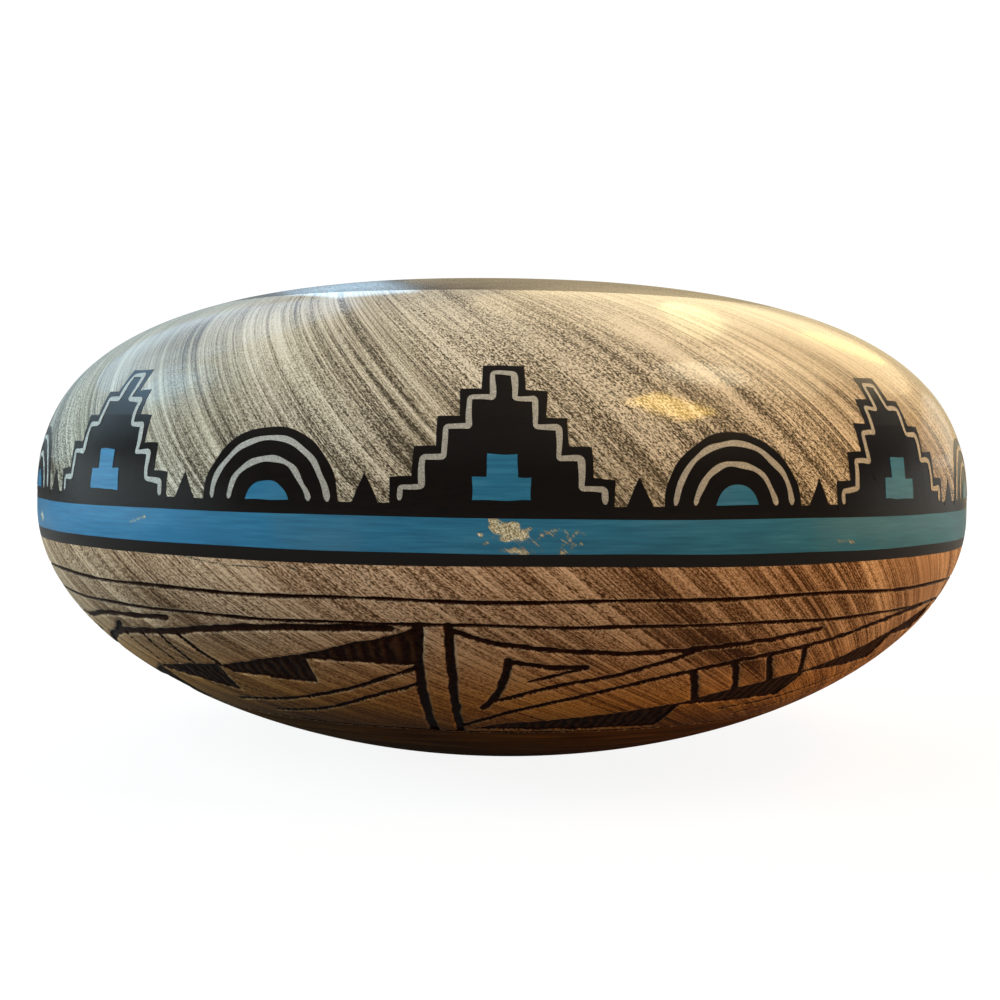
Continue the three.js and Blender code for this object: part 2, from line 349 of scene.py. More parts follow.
def carving(u, s):
    """Distance to the nearest cut edge, negative in a cut, and share of the height of a hatched ridge."""
    wavered_u = u + ripple(u, s, 11, 12, 3, 0.07)
    wavered_s = s + ripple(u, s, 12, 16, 4, 0.06)
    squeeze = wall(s)[0] / BELLY_RADIUS
    nearest = np.full(u.shape, FAR_FROM_CUT)
    for line in (FOOT_LINE, LOWER_LINE, UPPER_LINE):
        breadth = ripple(u, line, 21, 14, 3, 0.05)
        nearest = np.minimum(nearest, np.abs(s - edge(line, u)) - RING_HALF - breadth)
    for width, points in SCRATCHES:
        nearest = np.minimum(nearest, line_distance(u, s, squeeze, points) - width / 2)
    ridge = np.zeros(u.shape)
    number = np.floor((u - UNIT_START) / UNIT).astype(int) % UNITS
    for k, unit in enumerate(UNIT_ORDER):
        here = (number == k) & (s > FOOT_LINE - 1) & (s < LOWER_LINE + 1)
        at_u = (wavered_u[here] - UNIT_START) % UNIT
        at_s = wavered_s[here]
        close = nearest[here]
        breadth = ripple(u[here], at_s, 31 + k, 10, 2.5, 0.05)
        for width, points in unit.strokes:
            away = line_distance(at_u, at_s, squeeze[here], points)
            close = np.minimum(close, away - width / 2 - breadth)
        comb = np.sin(2 * math.pi * (at_u + ripple(u[here], at_s, 51, 9, 3, 0.3)) / HATCH_PITCH)
        raised = ridge[here]
        for outline in unit.wedges:
            away = line_distance(at_u, at_s, squeeze[here], outline, closed=True)
            within = inside(at_u, at_s, outline)
            close = np.minimum(close, np.where(within, -away, away) - breadth)
            raised = np.where(within, np.clip(comb, 0, 1) * np.clip(away / HATCH_FADE - 0.4, 0, 1), raised)
        nearest[here] = close
        ridge[here] = raised
    return nearest, ridge


def carved_relief(u, s):
    """How far the carved surface lies out from the smooth wall, with the values that its finish reads."""
    away, ridge = carving(u, s)
    depth = np.clip(-away / CUT_SLOPE, 0, 1)
    depth = depth * depth * (3 - 2 * depth) * CUT_DEPTH
    depth = np.where(ridge > 0, np.minimum(depth, WEDGE_DEPTH) - HATCH_RIDGE * ridge, depth)
    return -depth, {"cut": away, "ridge": ridge}


def level_relief(u, s):
    """Smooth wall."""
    return np.zeros(u.shape), {}


# Wear on the belt: flakes by place (u, s) and half sizes, and scratches
CHIPS = (
    (0.9, 90.5, 2.9, 1.7), (3.6, 89.7, 1.2, 0.9), (2.9, 87.4, 1.9, 0.6), (9.8, 87.1, 0.5, 0.3),
    (-113, 89, 1.5, 0.8), (168, 91, 1.9, 1), (262, 88.4, 1.2, 0.7),
)
BELT_SCRATCHES = (
    cut(0.24, (6.2, 89.8), (7.4, 90.3), (8.9, 90.9)),
    cut(0.2, (6.6, 90.6), (8.3, 90)),
    cut(0.2, (9.6, 89.2), (11.4, 88.4), (12.7, 88.5)),
    cut(0.22, (10, 90.9), (10.9, 89.3), (11.2, 87.8)),
    cut(0.2, (9.7, 88.2), (11.6, 90), (12.4, 91)),
    cut(0.18, (12, 90.6), (13.3, 90.2)),
    cut(0.2, (4.4, 88.9), (6.2, 88.3)),
    cut(0.2, (-70, 90), (-66, 91)),
    cut(0.2, (61, 88.6), (65, 88.2)),
)
CHIP_DEPTH = 0.12
CHIP_SLOPE = 0.5


def chipped_relief(u, s):
    """Smooth wall with flaked and scratched paint, and the distance to the nearest bare edge."""
    away = np.full(u.shape, FAR_FROM_CUT)
    rough = ripple(u, s, 41, 4, 0.8, 0.3)
    for at_u, at_s, half_u, half_s in CHIPS:
        reach = np.hypot((u - at_u) / half_u, (s - at_s) / half_s) - 1
        away = np.minimum(away, (reach + rough) * min(half_u, half_s))
    for width, points in BELT_SCRATCHES:
        away = np.minimum(away, line_distance(u, s, 1.0, points) - width / 2)
    return -CHIP_DEPTH * np.clip(-away / CHIP_SLOPE, 0, 1), {"chip": away}


SHARP_ANGLE = math.radians(40.0)


def linked(name, data):
    """New object in the scene."""
    made = bpy.data.objects.new(name, data)
    bpy.context.scene.collection.objects.link(made)
    return made


def add_object(name, points, faces, places=None, values=()):
    """New piece of a mesh in metres, smooth but for its sharp edges, with values for its finish."""
    mesh = bpy.data.meshes.new(name)
    mesh.from_pydata(points, [], faces)
    mesh.shade_smooth()
    mesh.set_sharp_from_angle(angle=SHARP_ANGLE)
    values = dict(values)
    if places is not None:
        u, s = places
        for key, share in (("brush", 1.0), ("sweep", SWEEP_SHARE)):
            places = brush_place(u, s, share).ravel()
            mesh.attributes.new(key, "FLOAT_VECTOR", "POINT").data.foreach_set("vector", places)
        values |= {"level": s + 0 * u, "tone": swept(u, s, SWEEPS), "dry_and_sheen": swept(u, s, DRY_AND_SHEEN_SWEEPS)}
    for key, value in values.items():
        mesh.attributes.new(key, "FLOAT", "POINT").data.foreach_set("value", np.ravel(value))
    made = linked(name, mesh)
    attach(made, "root")
    return made


def ring_faces(stations, columns, closed):
    """Quads of a ring of stations, each with as many points round it as there are columns."""
    k = np.arange(stations if closed else stations - 1)[:, None]
    i = np.arange(columns)[None, :]
    above, beside = (k + 1) % stations, (i + 1) % columns
    corners = [k * columns + i, k * columns + beside, above * columns + beside, above * columns + i]
    return np.stack(corners, -1).reshape(-1, 4)


EDGE_ROWS = (0, 0.15, 0.3, 0.42, 0.56, 0.8, 1.1)


def row_shares(width, step):
    """Rows across a coat as shares of its width: every step, and closer by its two edges."""
    near = np.array(EDGE_ROWS)
    if width < 4 * near[-1]:
        return np.linspace(0, 1, math.ceil(width / step) + 1)
    reach = near[-1] + step
    middle = np.linspace(reach, width - reach, math.ceil((width - 2 * reach) / step) + 1)
    return np.concatenate([near, middle, width - near[::-1]]) / width


HIDDEN_MAP_SHARE = 0.1
MAP_MARGIN = 0.004
MAP_ROOM = 1 - 2 * MAP_MARGIN


def map_ring(mesh, steps, columns, shown):
    """Bake map of a ring: its sectors stacked in a square, with little room for the hidden stations."""
    lengths = np.where(np.arange(len(steps)) < shown, steps, HIDDEN_MAP_SHARE * steps)
    tall = MAP_MARGIN + MAP_ROOM * np.concatenate([[0], np.cumsum(lengths)]) / lengths.sum()
    wanted = math.sqrt(GIRTH / lengths.sum())
    sectors = min((n for n in range(1, 41) if columns % n == 0), key=lambda n: abs(n - wanted))
    per = columns // sectors
    k = np.arange(len(steps))[:, None]
    i = np.arange(columns)[None, :]
    left, sector = (i % per) / per, i // per
    right = left + 1 / per

    def corner(across, up):
        return np.stack([MAP_MARGIN + MAP_ROOM * across + 0 * up, (sector + up + 0 * across) / sectors], -1)

    around = ((left, k), (right, k), (right, k + 1), (left, k + 1))
    corners = [corner(across, tall[up]) for across, up in around]
    mesh.uv_layers.new(name="OFBake").data.foreach_set("uv", np.stack(corners, 2).ravel())


def coat(name, low, high, step, columns, relief):
    """Ring of slip or paint between two edges: outside, edges and underside."""
    u = np.arange(columns) * GIRTH / columns - GIRTH / 2
    low_edge, high_edge = edge(low, u), edge(high, u)
    share = row_shares(high - low, step)[:, None]
    under_share = np.linspace(1, 0, max(2, len(share) // 9))[:, None]
    outer = low_edge + (high_edge - low_edge) * share
    under = low_edge + (high_edge - low_edge) * under_share
    out, values = relief(u + 0 * outer, outer)
    s = np.vstack([outer, under])
    out = np.vstack([out, np.full(under.shape, -COAT)])
    values = {key: np.vstack([value, np.full(under.shape, FAR_FROM_CUT)]) for key, value in values.items()}
    all_u = u + 0 * s
    points = on_wall(all_u, s, out)
    made = add_object(name, points.reshape(-1, 3), ring_faces(len(s), columns, True), (all_u, s), values)
    path = points[:, 0] / MM
    steps = np.linalg.norm(np.roll(path, -1, axis=0) - path, axis=1)
    map_ring(made.data, steps, columns, len(share) - 1)
    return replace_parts(made, name)


def lip_round(radius, steps=14):
    """(radius, height) points of the half circle over the end of the wall, from its outside to its inside."""
    middle_r, middle_z = wall(LIP, -(COAT + BED + WALL_THICKNESS / 2))
    start = math.atan2(WALL.out_z[-1], WALL.out_r[-1])
    turns = np.linspace(start, start + math.pi, steps + 1)
    return np.stack([middle_r + radius * np.cos(turns), middle_z + radius * np.sin(turns)], -1)


def profile(s, out):
    """(radius, height) points of the wall at distances s, moved out from it."""
    return np.stack(wall(np.asarray(s), out), -1)


def turned_points(outline, columns):
    """Points of an outline of (radius, height) points at columns round the axis."""
    outline = np.asarray(outline)
    turn = np.arange(columns) * 2 * math.pi / columns
    radius, height = outline[:, :1], outline[:, 1:]
    return np.stack([radius * np.sin(turn), -radius * np.cos(turn), height + 0 * turn], -1).reshape(-1, 3)


def turned(name, outline, columns, closed):
    """Solid turned from (radius, height) points: a closed outline, or one whose two ends lie on the axis."""
    faces = ring_faces(len(outline), columns, closed).tolist()
    made = add_object(name, turned_points(outline, columns) * MM, faces)
    if not closed:
        mesh = bmesh.new()
        mesh.from_mesh(made.data)
        bmesh.ops.remove_doubles(mesh, verts=mesh.verts, dist=0.001 * MM)
        mesh.to_mesh(made.data)
        mesh.free()
    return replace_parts(made, name)


RIM_COLUMNS = 384
CLAY_COLUMNS = 192
THROWING_PITCH = 4.2
THROWING_HEIGHT = 0.16
POT_FLOOR_RING = 0.12


def rim_paint():
    """Dark paint over the lip, from the shoulder to a little way inside the mouth."""
    outside = np.linspace(RIM_LOW, LIP, 24)[:-1]
    inside_s = np.linspace(LIP, LIP - RIM_INSIDE, 9)[1:]
    inner_depth = COAT + BED + WALL_THICKNESS

    def skin(outer_out, radius, inner_out):
        return [*profile(outside, outer_out), *lip_round(radius), *profile(inside_s, inner_out)]

    top = skin(0.0, WALL_THICKNESS / 2 + BED + COAT, -inner_depth - BED - COAT)
    under = skin(-COAT, WALL_THICKNESS / 2 + BED, -inner_depth - BED)
    return turned("rim_paint", [*top, *reversed(under)], RIM_COLUMNS, True)


def clay_body():
    """Fired clay: flat foot, wall under the coats, lip, and an inside with the rings that throwing leaves."""
    depth = COAT + BED
    outside = profile(np.linspace(0.6, LIP, 110)[:-1], -depth)
    s = np.linspace(LIP, 0, 330)[1:]
    below_paint = np.clip((LIP - RIM_INSIDE - s) / 4, 0, 1)
    swell = THROWING_HEIGHT * np.sin(2 * math.pi * s / THROWING_PITCH) * below_paint
    inner = profile(s, -(depth + WALL_THICKNESS + swell + THROWING_HEIGHT * (swell != 0)))
    inner = inner[inner[:, 1] > POT_FLOOR + 0.4]
    foot = [(0, 0), (FOOT_RADIUS - 8, 0), (FOOT_RADIUS - 1.2, 0), (FOOT_RADIUS - 0.35, 0.12)]
    floor_r = np.linspace(inner[-1][0] - 2, 1, 40)
    floor_z = POT_FLOOR + POT_FLOOR_RING * np.sin(2 * math.pi * floor_r / THROWING_PITCH)
    lip = lip_round(WALL_THICKNESS / 2)
    outline = [*foot, *outside, *lip, *inner, *zip(floor_r, floor_z), (0, POT_FLOOR)]
    return turned("clay_body", outline, CLAY_COLUMNS, False)


# Coats: node, low and high edge, step between rows, columns round the pot, relief
COATS = (
    ("foot_band", FOOT_BAND_LOW, FOOT_LINE, 0.8, 720, carved_relief),
    ("carved_band", FOOT_LINE, LOWER_LINE, 0.5, 1120, carved_relief),
    ("lower_belly_band", LOWER_LINE, UPPER_LINE, 0.4, 1080, carved_relief),
    ("upper_belly_band", UPPER_LINE, LOWER_STRIPE_LOW, 0.4, 1080, carved_relief),
    ("lower_stripe", LOWER_STRIPE_LOW, BELT_LOW, 0.5, 720, level_relief),
    ("turquoise_belt", BELT_LOW, BELT_HIGH, 0.22, 1800, chipped_relief),
    ("upper_stripe", BELT_HIGH, UPPER_STRIPE_HIGH, 0.5, 720, level_relief),
    ("shoulder_slip", UPPER_STRIPE_HIGH, RIM_LOW, 1.1, 720, level_relief),
)
pieces = {row[0]: coat(*row) for row in COATS}
pieces["rim_paint"] = rim_paint()
pieces["clay_body"] = clay_body()

# Painted frieze over the upper stripe: stepped terraces and arches in turn, with small triangles between them
REPEATS = sum(part["node"].startswith("terrace_") for part in frame["record"]["subparts"])
TERRACE_STEPS = 5
TERRACE_TOP = 7.2
TERRACE_RUN = 3.6
TERRACE_RISE = 5.0
ARCH_RADIUS = 13.0
FRIEZE_LAP = 0.7
FRIEZE_BASE = UPPER_STRIPE_HIGH - FRIEZE_LAP
FILM = 0.05
FILM_STEP = 2.5
HAND_WAVER = 0.11
LINE_INSET = 1.7
LINE_FOOT = 1.0
SILVER_WIDTH = 0.95
ARC_RADII = (11.0, 7.6)
ARC_FOOT = 0.9
CORE_RADIUS = 4.2
TRIANGLE = [(-2.6, 0), (2.6, 0), (0, 5.2)]
STEPPED_CORE = [
    (4.6, 1.6), (4.6, 5.2), (2.3, 5.2), (2.3, 8.8), (-2.3, 8.8), (-2.3, 5.2), (-4.6, 5.2), (-4.6, 1.6),
]
FRIEZE_SEED = 100
SEED_STEP = 20


def finely(points, step=0.8, closed=True):
    """Outline or line with points added so that none lie further apart than a step."""
    fine = []
    for (u0, s0), (u1, s1) in sides(points, closed):
        count = max(1, math.ceil(math.hypot(u1 - u0, s1 - s0) / step))
        fine += [(u0 + (u1 - u0) * k / count, s0 + (s1 - s0) * k / count) for k in range(count)]
    return fine if closed else [*fine, points[-1]]


def brushed_line(points, width, u):
    """Faces of a line brushed about a place u: round corners, a width that swells, ends that taper."""
    middle = np.array(finely(rounded(finely(put(points, u), 1.2, closed=False)), 0.5, closed=False))
    along = np.gradient(middle, axis=0)
    across = np.stack([-along[:, 1], along[:, 0]], -1) / np.linalg.norm(along, axis=1)[:, None]
    count = len(middle)
    travelled = np.arange(count)
    half = width / 2 * (1 + 0.12 * np.sin(travelled * 0.19 + count))
    by_end = np.clip(np.minimum(travelled, count - 1 - travelled) / 2.5, 0.06, 1)
    half = half * np.sqrt(1 - (1 - by_end) ** 2)
    places = np.concatenate([middle - across * half[:, None], middle + across * half[:, None]])
    corners = [[k, k + 1, count + k + 1, count + k] for k in range(count - 1)]
    border = [(k, k + 1) for k in range(count - 1)] + [(count + k + 1, count + k) for k in range(count - 1)]
    return places, corners, border + [(count - 1, 2 * count - 1), (count, 0)]


def filled(points, u):
    """Faces that fill an outline about a place u and bend with the wall: places, corners and border."""
    outline = finely(put(points, u))
    mesh = bmesh.new()
    mesh.faces.new([mesh.verts.new((*place, 0)) for place in outline])
    mesh.normal_update()
    bmesh.ops.triangulate(mesh, faces=mesh.faces)
    for across, normal in zip(np.transpose(outline), ((1, 0, 0), (0, 1, 0))):
        for at in np.arange(across.min() + FILM_STEP, across.max(), FILM_STEP):
            everything = [*mesh.verts, *mesh.edges, *mesh.faces]
            bmesh.ops.bisect_plane(mesh, geom=everything, plane_co=Vector(normal) * at, plane_no=normal)
    bmesh.ops.recalc_face_normals(mesh, faces=mesh.faces)
    if sum(face.normal.z for face in mesh.faces) < 0:
        bmesh.ops.reverse_faces(mesh, faces=mesh.faces)
    mesh.verts.index_update()
    places = np.array([vertex.co[:2] for vertex in mesh.verts])
    corners = [[vertex.index for vertex in face.verts] for face in mesh.faces]
    border = [(loop.vert.index, loop.link_loop_next.vert.index)
              for side in mesh.edges if side.is_boundary for loop in side.link_loops]
    mesh.free()
    return places, corners, border


def film(name, shapes, seed, lift, node=None):
    """Closed films of paint in hand-drawn shapes, lifted from the wall. They may stand for a node."""
    all_places, faces = [], []
    count = 0
    total = sum(len(places) for places, _, _ in shapes)
    for places, corners, border in shapes:
        faces += [[count + k for k in face] for face in corners]
        faces += [[total + count + k for k in reversed(face)] for face in corners]
        faces += [[count + b, count + a, total + count + a, total + count + b] for a, b in border]
        all_places.append(places)
        count += len(places)
    u, s = np.concatenate(all_places).T
    u, s = u + ripple(u, s, seed, 24, 4, HAND_WAVER), s + ripple(u, s, seed + 1, 24, 4, HAND_WAVER)
    points = np.concatenate([on_wall(u, s, lift + FILM), on_wall(u, s, lift)])
    made = add_object(name, points, faces, (np.tile(u, 2), np.tile(s, 2)))
    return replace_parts(made, node) if node else made


def terrace_steps(inset=0.0, foot=0.0):
    """Stepped pyramid, or a line that follows it inside, as places from the middle of its foot."""
    right = []
    for k in range(TERRACE_STEPS):
        half = TERRACE_TOP / 2 + TERRACE_RUN * (TERRACE_STEPS - 1 - k) - inset
        right += [(half, max(foot, TERRACE_RISE * k - inset)), (half, TERRACE_RISE * (k + 1) - inset)]
    return right + [(-u, s) for u, s in reversed(right)]


def arc(radius, foot=0.0, steps=40):
    """Half circle of places from its right foot to its left one."""
    start = math.asin(foot / radius)
    turns = np.linspace(start, math.pi - start, steps + 1)
    return [(radius * math.cos(t), radius * math.sin(t)) for t in turns]


def put(points, u, s=FRIEZE_BASE):
    """Places moved along the wall."""
    return [(u + at_u, s + at_s) for at_u, at_s in points]


frieze = []
for k in range(REPEATS):
    u = (k * GIRTH / REPEATS + GIRTH / 2) % GIRTH - GIRTH / 2
    next_u = u + GIRTH / REPEATS / 2
    gap = (TERRACE_TOP / 2 + TERRACE_RUN * (TERRACE_STEPS - 1) + GIRTH / REPEATS / 2 - ARCH_RADIUS) / 2
    terrace, mound = f"terrace_{k + 1}", f"arch_{k + 1}"
    arcs = [brushed_line(arc(radius, ARC_FOOT), SILVER_WIDTH, next_u) for radius in ARC_RADII]
    triangles = [filled(TRIANGLE, u + side * gap) for side in (-1, 1)]
    steps = brushed_line(terrace_steps(LINE_INSET, LINE_FOOT), SILVER_WIDTH, u)
    core = filled(arc(CORE_RADIUS, ARC_FOOT), next_u)
    films = (
        (terrace, [filled(terrace_steps(), u)], 0.0, terrace, "black_paint"),
        (mound, [filled(arc(ARCH_RADIUS), next_u)], 0.0, mound, "black_paint"),
        (f"{terrace}_core", [filled(STEPPED_CORE, u)], FILM, None, "turquoise_paint"),
        (f"{mound}_core", [core], FILM, None, "turquoise_paint"),
        (f"{terrace}_line", [steps], FILM, None, None),
        (f"{mound}_lines", arcs, FILM, None, None),
        (f"triangles_{k + 1}", triangles, 0.0, None, "black_paint"),
    )
    for row, (name, shapes, lift, node, slot) in enumerate(films):
        frieze.append((film(name, shapes, FRIEZE_SEED + SEED_STEP * row + k, lift, node), slot))


def srgb(red, green, blue):
    """Linear colour of screen values from 0 to 255."""
    def linear(value):
        share = value / 255
        return share / 12.92 if share <= 0.04045 else ((share + 0.055) / 1.055) ** 2.4

    return (linear(red), linear(green), linear(blue), 1.0)


GRAIN_RANGE = (0.3, 0.7)


class Shader:
    """Node graph of a new material or world, built with short calls that take and give sockets."""

    def __init__(self, name, kind=bpy.data.materials):
        self.owner = kind.new(name)
        self.owner.use_nodes = True
        self.tree = self.owner.node_tree

    def node(self, kind, inputs, **settings):
        made = self.tree.nodes.new(kind)
        for key, value in settings.items():
            setattr(made, key, value)
        for key, value in inputs.items():
            self.feed(made.inputs[key], value)
        return made

    def feed(self, socket, value):
        if isinstance(value, bpy.types.NodeSocket):
            self.tree.links.new(value, socket)
        else:
            socket.default_value = value

    def finish(self, **inputs):
        """The material, once its surface has its inputs."""
        surface = self.tree.nodes["Principled BSDF"]
        for key, value in inputs.items():
            self.feed(surface.inputs[key.replace("_", " ").title().replace("Ior", "IOR")], value)
        return self.owner

    def value(self, name):
        return self.node("ShaderNodeAttribute", {}, attribute_name=name).outputs["Fac"]

    def vector(self, name):
        return self.node("ShaderNodeAttribute", {}, attribute_name=name).outputs["Vector"]

    def place(self):
        """Place on the object in millimetres."""
        position = self.node("ShaderNodeTexCoord", {}).outputs["Object"]
        return self.scaled(position, (1 / MM,) * 3)

    def scaled(self, vector, factors):
        made = self.node("ShaderNodeVectorMath", {0: vector, 1: factors}, operation="MULTIPLY")
        return made.outputs["Vector"]

    def noise(self, vector, scale, detail=2.0, roughness=0.5):
        inputs = {"Vector": vector, "Scale": scale, "Detail": detail, "Roughness": roughness}
        return self.node("ShaderNodeTexNoise", inputs).outputs["Fac"]

    def plus(self, a, b):
        return self.node("ShaderNodeMath", {0: a, 1: b}, operation="ADD").outputs["Value"]

    def times(self, a, b):
        return self.node("ShaderNodeMath", {0: a, 1: b}, operation="MULTIPLY").outputs["Value"]

    def spread(self, value, low, high, to_low=0.0, to_high=1.0):
        inputs = {"Value": value, "From Min": low, "From Max": high, "To Min": to_low, "To Max": to_high}
        made = self.node("ShaderNodeMapRange", inputs, interpolation_type="SMOOTHSTEP")
        return made.outputs["Result"]

    def dulled(self, grain, low=0.4, high=0.6):
        """Roughness that varies with a grain."""
        return self.spread(grain, *GRAIN_RANGE, low, high)

    def ramp(self, factor, *stops):
        """Colour that runs through screen colours at given stops."""
        made = self.node("ShaderNodeValToRGB", {"Fac": factor})
        elements = made.color_ramp.elements
        while len(elements) < len(stops):
            elements.new(0.5)
        for element, (at, color) in zip(elements, stops):
            element.position = at
            element.color = srgb(*color)
        return made.outputs["Color"]

    def mix(self, factor, a, b):
        """Mix of a colour and a second one, which may be a screen colour."""
        b = b if isinstance(b, bpy.types.NodeSocket) else srgb(*b)
        made = self.node("ShaderNodeMix", {0: factor, 6: a, 7: b}, data_type="RGBA")
        return made.outputs[2]

    def bump(self, height, strength, distance):
        """Normal of a fine relief of the given distance in millimetres."""
        inputs = {"Height": height, "Strength": strength, "Distance": distance * MM}
        return self.node("ShaderNodeBump", inputs).outputs["Normal"]


SLIP_GLOSS = 0.1
PAINT_GLOSS = 0.28
LACQUER_RELIEF = 0.18
LACQUER_DEPTH = 0.03
STREAK_REACH = 0.45
STROKE_SPARSENESS = 0.02
WET_AND_SHEEN = -0.35
WET_AND_SHEEN_STRENGTH = 0.55
MARK_STOPS = (0.0, 0.15, 0.5, 0.85, 1.0)


def brush_marks(shader, lines, speckle, density=0.0):
    """Darkness, from 0 to 1, of dry-brushed streaks, and the speckle and fine relief that go with them.

    The weights of lines and speckle are given. A density above 0 darkens the whole. Where the brush ran wet,
    and where sheen is painted in high on the shoulder, the marks are fainter.
    """
    brush = shader.vector("brush")
    sweep = shader.vector("sweep")
    placed_dry_and_sheen = shader.value("dry_and_sheen")

    def marks(along, stretch, scale, detail, roughness=0.5):
        return shader.noise(shader.scaled(along, (1.0, 1.0, stretch)), scale, detail, roughness)

    hair = marks(brush, 0.012, 2.9, 1.0)
    bristle = marks(brush, 0.02, 1.2, 2.0, 0.6)
    stroke = marks(brush, 0.018, 0.75, 1.5)
    tuft = marks(brush, 0.025, 0.34, 2.0, 0.55)
    band = marks(sweep, 0.06, 0.12, 1.5)
    mass = marks(sweep, 0.3, 0.035, 1.5)
    grain = marks(brush, 0.8, 3.9, 1.5, 0.6)
    patches = marks(sweep, 0.3, 0.05, 1.0)
    dry_and_sheen = shader.plus(shader.spread(patches, 0.36, 0.64, 0.55, 0.95), placed_dry_and_sheen)
    layers = (
        (hair, 0.34, 0.66, lines),
        (bristle, 0.34, 0.66, lines),
        (stroke, 0.54, 0.66, 0.1),
        (tuft, 0.36, 0.64, 0.19),
        (band, 0.38, 0.62, 0.14),
        (mass, 0.36, 0.64, 0.1),
    )
    streak = shader.times(shader.spread(grain, 0.34, 0.66, -0.5, 0.5), shader.times(dry_and_sheen, speckle))
    for mark, low, high, weight in layers:
        streak = shader.plus(streak, shader.spread(mark, low, high, 0.0, weight))
    middle = sum(layer[-1] for layer in layers) / 2 - STROKE_SPARSENESS
    # Marks fade where the brush ran wet, and where sheen is painted in high on the shoulder
    strength = shader.spread(placed_dry_and_sheen, WET_AND_SHEEN, 0.0, WET_AND_SHEEN_STRENGTH, 1.0)
    streak = shader.times(shader.plus(streak, -middle), strength)
    streak = shader.plus(streak, shader.plus(shader.value("tone"), density))
    dark = shader.spread(streak, -STREAK_REACH, STREAK_REACH)
    return dark, grain, shader.plus(grain, hair)


def marked(shader, dark, *colors):
    """Screen colours from the bare ground to the densest brush mark."""
    return shader.ramp(dark, *zip(MARK_STOPS, colors))


def lacquered(shader, color, grain, relief, specular, gloss):
    """Finish of a colour with a fine relief, under a coat of lacquer that follows its grain."""
    return shader.finish(
        base_color=color,
        roughness=shader.dulled(grain),
        specular_ior_level=specular,
        normal=shader.bump(relief, 0.3, 0.04),
        coat_weight=1.0,
        coat_roughness=gloss,
        coat_normal=shader.bump(grain, LACQUER_RELIEF, LACQUER_DEPTH),
    )


def grey_slip():
    """Pale slip of the shoulder with grey-black brush marks, denser low down, under lacquer."""
    shader = Shader("brushed_grey_slip")
    level = shader.value("level")
    density = shader.spread(level, UPPER_STRIPE_HIGH, UPPER_STRIPE_HIGH + 46, 0.14, -0.1)
    dark, grain, relief = brush_marks(shader, 0.28, 0.75, density)
    color = marked(
        shader, dark, (226, 213, 194), (209, 195, 174), (173, 159, 138), (120, 107, 88), (66, 57, 46),
    )
    return lacquered(shader, color, grain, relief, 0.1, SLIP_GLOSS)


def carved(shader, color):
    """Colour of a slip with dark rough-edged cuts, and pale specks along them: clay crumbs and a painted edge
    highlight.
    """
    place = shader.place()
    rough = shader.spread(shader.noise(place, 4.6, 2.0, 0.6), *GRAIN_RANGE, -0.14, 0.14)
    away = shader.plus(shader.value("cut"), rough)
    # Pale specks along the cuts: partly crumbs of clay, partly a painted highlight on the cut edges
    crumbs_and_edge_highlight = shader.spread(shader.noise(place, 3.0), 0.45, 0.6, 0.0, 0.75)
    color = shader.mix(shader.times(shader.spread(away, 0.4, 0.06), crumbs_and_edge_highlight), color, (204, 176, 144))
    soot = shader.ramp(shader.noise(place, 1.4), (0.35, (18, 5, 2)), (0.7, (50, 22, 9)))
    scraped = shader.spread(shader.noise(place, 1.3), 0.25, 0.55, 0.0, 0.55)
    soot = shader.mix(shader.times(shader.value("ridge"), scraped), soot, (98, 64, 38))
    return shader.mix(shader.spread(away, 0.08, -0.08), color, soot)


def brown_slip():
    """Brown slip with dark brush marks, with shade painted in darker near the foot, and with cuts."""
    shader = Shader("brushed_brown_slip")
    dark, grain, relief = brush_marks(shader, 0.3, 0.63)
    level = shader.value("level")
    upper = marked(
        shader, dark, (230, 196, 163), (213, 177, 143), (178, 140, 108), (126, 92, 65), (72, 47, 29),
    )
    lower = marked(shader, dark, (239, 175, 97), (222, 154, 78), (185, 119, 53), (128, 76, 30), (64, 35, 13))
    color = shader.mix(shader.spread(level, LOWER_LINE - 24, LOWER_LINE + 2), lower, upper)
    # Painted shade: the slip is darkened towards the foot line, where less light reaches under the belly
    low = shader.spread(level, FOOT_LINE, FOOT_LINE + 14, 0.6, 0.0)
    color = shader.mix(low, color, (74, 40, 16))
    return shader.finish(
        base_color=carved(shader, color),
        roughness=shader.dulled(grain),
        specular_ior_level=0.06,
        coat_weight=0.12,
        coat_roughness=0.2,
        normal=shader.bump(relief, 0.35, 0.05),
    )


def umber_slip():
    """Dark slip round the foot, with the fine lines that turning left."""
    shader = Shader("umber_slip")
    place = shader.place()
    lines = shader.noise(shader.scaled(place, (0.03, 0.03, 1.0)), 1.6, 3.0, 0.6)
    grain = shader.noise(place, 2.6)
    mixed = shader.plus(shader.times(lines, 0.75), shader.times(grain, 0.25))
    color = shader.ramp(mixed, (0.35, (64, 36, 9)), (0.5, (110, 65, 20)), (0.65, (150, 96, 36)))
    return shader.finish(
        base_color=carved(shader, color),
        roughness=shader.dulled(grain, 0.45, 0.6),
        specular_ior_level=0.05,
        normal=shader.bump(mixed, 0.35, 0.05),
    )


def black_paint():
    """Black paint with faint brush lines under lacquer."""
    shader = Shader("black_paint")
    lines = shader.noise(shader.scaled(shader.vector("brush"), (0.15, 0.15, 1.0)), 2.4, 3.0, 0.6)
    grain = shader.noise(shader.place(), 3.0)
    color = shader.ramp(lines, (0.3, (7, 4, 3)), (0.7, (18, 11, 8)))
    return lacquered(shader, color, grain, shader.plus(grain, lines), 0.05, PAINT_GLOSS)


